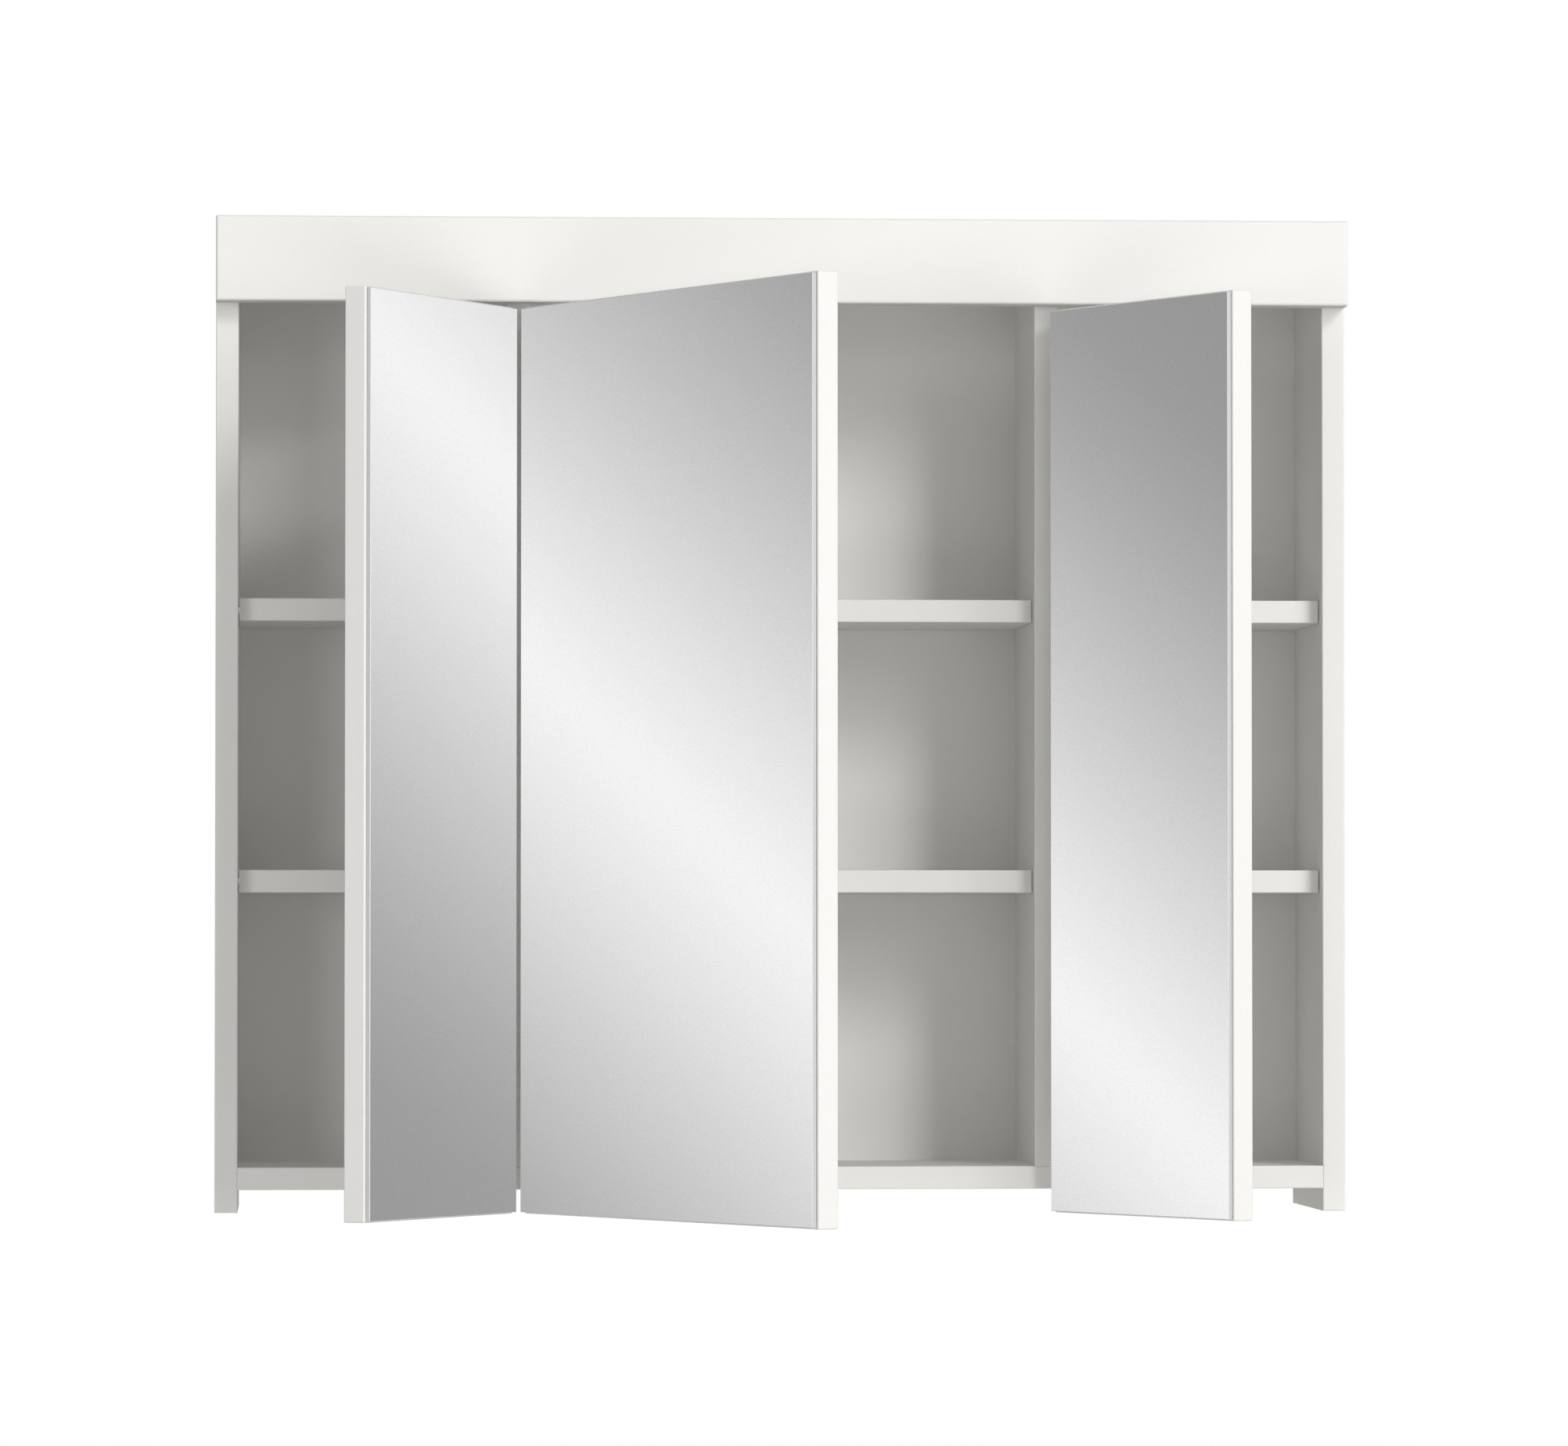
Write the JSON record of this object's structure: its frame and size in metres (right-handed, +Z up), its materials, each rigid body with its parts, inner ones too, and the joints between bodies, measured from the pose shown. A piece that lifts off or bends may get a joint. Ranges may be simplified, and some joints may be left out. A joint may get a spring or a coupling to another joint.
{
  "type": "mirror cabinet",
  "caption": "Wall-hung bathroom cabinet with mirrored doors, open shelved bays behind them and a plain header panel along the top.",
  "frame": {"origin": "midway between the two wall-screw holes, on the wall plane, which is the rear face of the hanging rail", "axes": "+X to the right as seen from the front, +Y into the wall, +Z up; the doors face -Y"},
  "size_m": [0.8, 0.51, 0.701],
  "materials": {
    "white_board": "satin white melamine on particle board",
    "white_hardboard": "matt white foil on hardboard",
    "mirror": "silvered float glass, polished edges",
    "adhesive": "double-sided mounting tape",
    "nickel_steel": "satin nickel plate",
    "zinc_steel": "bright zinc plate",
    "cast_zinc": "tumbled zinc casting",
    "beech": "bare fluted beech",
    "clear_bumper": "soft clear dots"
  },
  "bodies": {
    "cabinet": {"left_side_panel": "white_board", "right_side_panel": "white_board", "left_divider": "white_board", "right_divider": "white_board", "bottom_board": "white_board", "top_board": "white_board", "header_panel": "white_board", "back_panel": "white_hardboard", "hanging_rail": "white_board", "left_lower_shelf": "white_board", "left_upper_shelf": "white_board", "middle_lower_shelf": "white_board", "middle_upper_shelf": "white_board", "right_lower_shelf": "white_board", "right_upper_shelf": "white_board", "shelf_pins": "zinc_steel", "cam_locks": "cast_zinc", "cam_bolts": "zinc_steel", "wood_dowels": "beech", "assembly_screws": "zinc_steel", "back_panel_screws": "zinc_steel", "left_hinge_arms": "nickel_steel", "left_hinge_plates": "cast_zinc", "left_hinge_screws": "zinc_steel", "left_hinge_pins": "zinc_steel", "middle_hinge_arms": "nickel_steel", "middle_hinge_plates": "cast_zinc", "middle_hinge_screws": "zinc_steel", "middle_hinge_pins": "zinc_steel", "right_hinge_arms": "nickel_steel", "right_hinge_plates": "cast_zinc", "right_hinge_screws": "zinc_steel", "right_hinge_pins": "zinc_steel"},
    "left_door": {"left_door_board": "white_board", "left_mirror_glass": "mirror", "left_mirror_adhesive": "adhesive", "left_hinge_cups": "nickel_steel", "left_hinge_cup_screws": "zinc_steel", "left_door_bumpers": "clear_bumper"},
    "middle_door": {"middle_door_board": "white_board", "middle_mirror_glass": "mirror", "middle_mirror_adhesive": "adhesive", "middle_hinge_cups": "nickel_steel", "middle_hinge_cup_screws": "zinc_steel", "middle_door_bumpers": "clear_bumper"},
    "right_door": {"right_door_board": "white_board", "right_mirror_glass": "mirror", "right_mirror_adhesive": "adhesive", "right_hinge_cups": "nickel_steel", "right_hinge_cup_screws": "zinc_steel", "right_door_bumpers": "clear_bumper"},
    "left_hinge_link_pair": {"left_hinge_links": "nickel_steel"},
    "middle_hinge_link_pair": {"middle_hinge_links": "nickel_steel"},
    "right_hinge_link_pair": {"right_hinge_links": "nickel_steel"}
  },
  "joints": [
    {"name": "left_door_hinge", "type": "hinge", "parent": "cabinet", "child": "left_door", "pos_m": [-0.1883, -0.1903, -0.3465], "axis": [0, 0, 1], "range_deg": [-60, 30]},
    {"name": "middle_door_hinge", "type": "hinge", "parent": "cabinet", "child": "middle_door", "pos_m": [-0.1857, -0.1903, -0.3465], "axis": [0, 0, -1], "range_deg": [-60, 30]},
    {"name": "right_door_hinge", "type": "hinge", "parent": "cabinet", "child": "right_door", "pos_m": [0.1883, -0.1903, -0.3465], "axis": [0, 0, -1], "range_deg": [-60, 50]},
    {"name": "left_link_pivot", "type": "hinge", "parent": "cabinet", "child": "left_hinge_link_pair", "pos_m": [-0.2199, -0.1779, -0.3465], "axis": [0, 0, -1], "range_deg": [-46, 24]},
    {"name": "middle_link_pivot", "type": "hinge", "parent": "cabinet", "child": "middle_hinge_link_pair", "pos_m": [-0.1541, -0.1779, -0.3465], "axis": [0, 0, 1], "range_deg": [-46, 24]},
    {"name": "right_link_pivot", "type": "hinge", "parent": "cabinet", "child": "right_hinge_link_pair", "pos_m": [0.2199, -0.1779, -0.3465], "axis": [0, 0, 1], "range_deg": [-46, 39]}
  ],
  "couplings": [
    {"joint": "left_link_pivot", "follows": "left_door_hinge", "ratio": 0.741},
    {"joint": "middle_link_pivot", "follows": "middle_door_hinge", "ratio": 0.741},
    {"joint": "right_link_pivot", "follows": "right_door_hinge", "ratio": 0.741}
  ]
}
